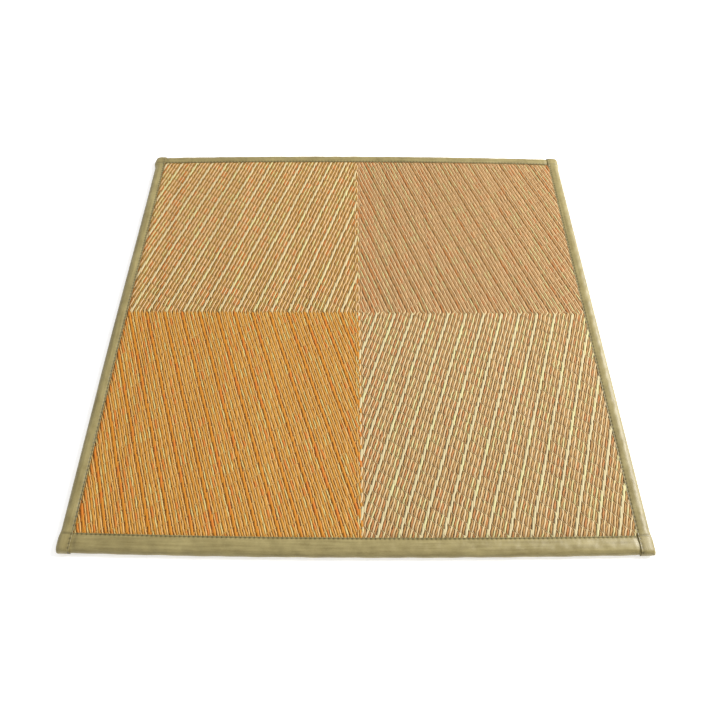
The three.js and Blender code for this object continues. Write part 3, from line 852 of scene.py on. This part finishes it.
def make_side_tape(name, side, width, material, seed):
    """A long bag open towards the mat's middle. The section is carried from corner to corner,
    raised where it lies over an end tape, and drawn together to a line at both ends."""
    run_length = MAT_DEPTH - 2 * END_GRID[-1]
    run = np.linspace(0, 1, STATIONS_PER_STITCH * int(run_length / STITCH_PITCH) + 1)[1:-1]
    from_end = np.concatenate([END_GRID, np.full(len(run), END_GRID[-1]), END_GRID[::-1]])[:, None]
    share = np.concatenate([END_GRID * 0, run, END_GRID * 0 + 1])[:, None]
    at_front = share < 0.5
    end_tape = np.where(at_front, FRONT_TAPE, BACK_TAPE)
    skins, painted_shade = [], []
    for rows, outside in ((OUTER_ROWS, True), (INNER_ROWS[::-1], False)):
        gap = from_end if outside else from_end + CLOTH * (1 - smoothstep(0, INNER_EASE, from_end))
        inset = rows[:, 0] + rows[:, 1] * width + 0 * gap
        outer_x = side * (MAT_WIDTH / 2 - inset)
        y = lerp(front_line(outer_x) - LIFT + gap, back_line(outer_x) + LIFT - gap, share)
        over = raised(gap, end_tape)
        height = lerp(rows[:, 2] + 0 * gap, rows[:, 3], over)
        relief, dark = cloth_relief(y, inset, width, seed)
        past_tape = gap - end_tape
        on_top = smoothstep(2, 7, inset)
        crease = -CREASE_DEPTH * bell(past_tape - CREASE_PLACE, CREASE_REACH) * on_top
        crease = crease + RIDGE_HEIGHT * bell(past_tape - RIDGE_PLACE, RIDGE_REACH) * on_top
        upper = height > RIM_HEIGHT + 0.01
        height = height + np.where(upper, relief * (1 - 0.5 * over) + crease, 0)
        turn = np.clip((gap - (0 if outside else CLOTH)) / POUCH_ROUNDING, 0, 1)
        closing = np.sqrt(1 - (1 - turn) ** 2)
        height = RIM_HEIGHT + (height - RIM_HEIGHT) * closing
        corners = {end: corner_shift(CORNERS[side, end], gap - LIFT) for end in ("front", "back")}
        shift = np.where(at_front, corners["front"], corners["back"]) * np.clip(1 - inset / width, 0, 1)
        x = side_line(side, y) - side * (inset - shift)
        skins.append(np.stack([x, y, height], -1))
        # Painted shade in the crease, joined with that of the stitch dimples.
        crease_dark = CREASE_DARK * bell(past_tape - CREASE_PLACE, CREASE_DARK_REACH)
        crease_dark = crease_dark * smoothstep(3, 8, inset)
        painted_shade.append(np.where(upper & outside, np.maximum(dark, crease_dark), 0))
    points = np.concatenate(skins, 1)
    outer_count = len(OUTER_ROWS)
    stations, ring = points.shape[:2]
    # At each end the upper half of a skin is joined to the lower half, point to point.
    number = np.arange(stations * ring).reshape(stations, ring)
    for row in (0, -1):
        for first, last in ((0, outer_count - 1), (outer_count, ring - 1)):
            half = (last - first + 1) // 2
            number[row, last - half + 1:last + 1] = number[row, first:first + half][::-1]
            points[row, first:last + 1, 2] = RIM_HEIGHT
    walls = number.reshape(-1)[grid_faces(stations, ring, wrap=True)]
    if side < 0:
        walls = walls[:, ::-1]
    attributes = {"painted_shade": np.concatenate(painted_shade, 1)}
    return add_piece(name, points, [walls], [material], attributes, cloth_uv(points, 1))


left_tape = make_side_tape("tape_left", -1, LEFT_WIDTH, olive_satin, 23)
right_tape = make_side_tape("tape_right", 1, RIGHT_WIDTH, olive_satin, 24)
for piece, node in ((left_tape, "binding_left"), (right_tape, "binding_right")):
    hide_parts(node)

# The sewing: one row of lockstitches round each tape, close to its inner edge. The thread is
# olive, a little darker than the cloth, and dives into a needle hole every seven millimetres.
THREAD_RADIUS = 0.42
THREAD_SUNK, THREAD_PROUD = 0.95, 0.12
THREAD_STATIONS = 7
SEAM_HEIGHT, RAISED_SEAM_HEIGHT = SECTION[SEAM_ROW, 2:]
# The rows start this far from the corner, and from the inner edge of a side tape.
FIRST_HOLE = 12.0
END_HOLE = 4


def make_stitches(name, holes, material):
    """A thread from each needle hole to the next: a tube on a flat arch, sin(pi t) to the
    power 0.6, sunk at both ends."""
    start, stop = holes[:-1, None], holes[1:, None]
    t = np.linspace(0, 1, THREAD_STATIONS)
    path = lerp(start, stop, t[None, :, None])
    path[..., 2] += lerp(-THREAD_SUNK, THREAD_PROUD, np.sin(math.pi * t) ** 0.6)
    along = stop - start
    along = along / np.linalg.norm(along, axis=-1, keepdims=True)
    radius = THREAD_RADIUS * lerp(0.6, 1, np.sin(math.pi * t)) + 0 * path[..., 2]
    points = tube_points(path, radius, along + 0 * path)
    return add_piece(name, points, tube_faces(len(start), THREAD_STATIONS, THREAD_SIDES), [material])


def hole_places(reach):
    """Places of the needle holes on both sides of the middle, one at each dimple."""
    return STITCH_PITCH * np.arange(-(reach // STITCH_PITCH), reach // STITCH_PITCH + 1)


def end_holes(edge, sign, width_at):
    """Needle holes of an end tape, between the side tapes."""
    x = hole_places(MAT_WIDTH / 2 - SIDE_TAPE - END_HOLE)
    y = edge(x) - sign * (width_at(x) - SEAM_INSET)
    return np.stack([x, y, SEAM_HEIGHT + 0 * x], -1)


def side_holes(side, width):
    """Needle holes of a side tape, raised where it lies over the end tapes."""
    y = hole_places(MAT_DEPTH / 2 - FIRST_HOLE)
    x = side_line(side, y) - side * (width - SEAM_INSET)
    over_front = raised(y - front_line(x) + LIFT, FRONT_TAPE)
    over_back = raised(back_line(x) - y + LIFT, BACK_TAPE)
    height = lerp(SEAM_HEIGHT, RAISED_SEAM_HEIGHT, np.maximum(over_front, over_back))
    return np.stack([x, y, height], -1)


olive_thread = group_material("olive_thread", spun_thread, THREAD_RELIEF, 0.75, 0.5, {
    "Light": (138, 124, 76), "Dark": (104, 92, 50),
})
stitch_rows = {
    "stitches_front": end_holes(front_line, -1, front_width),
    "stitches_back": end_holes(back_line, 1, back_width),
    "stitches_left": side_holes(-1, LEFT_WIDTH),
    "stitches_right": side_holes(1, RIGHT_WIDTH),
}
stitches = {name: make_stitches(name, holes, olive_thread) for name, holes in stitch_rows.items()}

# The light: a white floor under a pale sky, and one broad soft lamp high on the right. The
# floor glows a little, so that it stays white up to the mat.
FLOOR_REACH, FLOOR_DROP = 30, 0.0005

floor_paint, tree, shader = new_material("studio_floor")
shader.inputs["Base Color"].default_value = (0.95, 0.95, 0.95, 1)
shader.inputs["Roughness"].default_value = 0.9
shader.inputs["Emission Color"].default_value = (1, 1, 1, 1)
shader.inputs["Emission Strength"].default_value = 0.45
floor_mesh = bpy.data.meshes.new("studio_floor")
floor_corners = np.array([[-1, -1, 0], [1, -1, 0], [1, 1, 0], [-1, 1, 0]]) * FLOOR_REACH - (0, 0, FLOOR_DROP)
floor_mesh.from_pydata(floor_corners.tolist(), [], [(0, 1, 2, 3)])
floor_mesh.materials.append(floor_paint)
floor = bpy.data.objects.new("studio_floor", floor_mesh)
bpy.context.scene.collection.objects.link(floor)

world = bpy.data.worlds.new("studio")
world.use_nodes = True
world.node_tree.nodes["Background"].inputs["Color"].default_value = (1, 1, 1, 1)
world.node_tree.nodes["Background"].inputs["Strength"].default_value = 0.56
bpy.context.scene.world = world


def soft_lamp(name, place, aim, size, power):
    """A square area lamp at a place, turned towards a point."""
    data = bpy.data.lights.new(name, "AREA")
    data.shape = "SQUARE"
    data.size = size
    data.energy = power
    lamp = bpy.data.objects.new(name, data)
    facing = (Vector(aim) - Vector(place)).to_track_quat("-Z", "Y").to_matrix().to_4x4()
    lamp.matrix_world = Matrix.Translation(place) @ facing
    bpy.context.scene.collection.objects.link(lamp)


soft_lamp("window_lamp", place=(2.6, 0.9, 2.0), aim=(0, 0, 0), size=1.6, power=165)
bpy.context.scene.view_settings.view_transform = "Standard"
